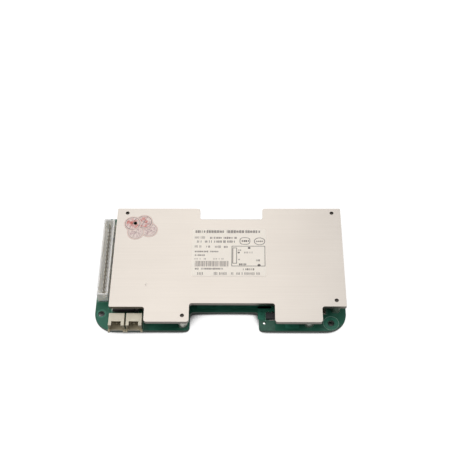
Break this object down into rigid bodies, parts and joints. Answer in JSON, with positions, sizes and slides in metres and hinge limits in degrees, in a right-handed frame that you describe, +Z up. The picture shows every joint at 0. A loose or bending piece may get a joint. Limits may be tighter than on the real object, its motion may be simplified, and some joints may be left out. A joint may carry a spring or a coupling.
{
  "type": "battery management board",
  "caption": "Battery management board: a green power circuit board with a tall balance header and side-entry headers, under a brushed aluminium heat-spreader plate on spacers.",
  "frame": {"origin": "middle of the whole footprint, on the surface that the screw heads stand on", "axes": "+X along the board's long side, from the balance header to the other end; +Y from the cable notch to the back edge; +Z up through the plate"},
  "size_m": [0.128, 0.0714, 0.0127],
  "materials": {
    "solder_mask": "green solder mask over glass-epoxy laminate, semi-gloss",
    "tinned_pad": "tinned copper pad, dulled",
    "brushed_plate": "brushed along its length, satin",
    "label_paper": "white self-adhesive paper, matte",
    "seal_film": "pink round seal film, matte",
    "spacer_metal": "turned, nickel plated, satin",
    "screw_steel": "black-oxide steel screw",
    "header_nylon": "natural white nylon, moulded",
    "port_nylon": "ivory nylon, moulded",
    "tinned_pin": "tin-plated contact pin, bright",
    "fet_case": "black epoxy moulded package with tinned tab and leads",
    "thermal_silicone": "soft grey thermal silicone",
    "tinned_copper": "tinned copper bar",
    "shunt_alloy": "resistance alloy strip",
    "capacitor_sleeve": "black shrunk sleeve, semi-gloss",
    "ferrite": "pressed ferrite, matte",
    "chip_case": "black epoxy chip package with tinned leads",
    "crystal_can": "nickel-plated can",
    "resistor_body": "black-glazed chip resistor with tinned ends",
    "capacitor_ceramic": "tan chip capacitor with tinned ends",
    "solder": "lead-free solder, bright"
  },
  "bodies": {
    "root": {"pcb": "solder_mask", "battery_pad_plating": "tinned_pad", "load_pad_plating": "tinned_pad", "heatsink_plate": "brushed_plate", "label": "label_paper", "warranty_seals": "seal_film", "spacer_1": "spacer_metal", "spacer_2": "spacer_metal", "spacer_3": "spacer_metal", "spacer_4": "spacer_metal", "spacer_screws": "screw_steel", "support_pillar": "spacer_metal", "balance_header": "header_nylon", "balance_header_pins": "tinned_pin", "port_header_left": "port_nylon", "port_header_right": "port_nylon", "port_header_left_pins": "tinned_pin", "port_header_right_pins": "tinned_pin", "mosfet_1": "fet_case", "mosfet_2": "fet_case", "mosfet_3": "fet_case", "mosfet_4": "fet_case", "mosfet_5": "fet_case", "mosfet_6": "fet_case", "mosfet_7": "fet_case", "mosfet_8": "fet_case", "mosfet_9": "fet_case", "mosfet_10": "fet_case", "mosfet_11": "fet_case", "mosfet_12": "fet_case", "thermal_pad_front": "thermal_silicone", "thermal_pad_back": "thermal_silicone", "drain_bar": "tinned_copper", "source_bar_front": "tinned_copper", "source_bar_back": "tinned_copper", "shunt_1": "shunt_alloy", "shunt_2": "shunt_alloy", "shunt_3": "shunt_alloy", "shunt_4": "shunt_alloy", "supply_capacitor": "capacitor_sleeve", "supply_capacitor_leads": "tinned_pin", "supply_inductor": "ferrite", "monitor_chip": "chip_case", "controller_chip": "chip_case", "crystal": "crystal_can", "driver_chip_1": "chip_case", "driver_chip_2": "chip_case", "surge_diode_1": "chip_case", "surge_diode_2": "chip_case", "sense_transistor": "chip_case", "balance_resistors": "resistor_body", "balance_transistors": "chip_case", "ceramic_capacitors": "capacitor_ceramic", "solder_joints": "solder"}
  },
  "joints": []
}
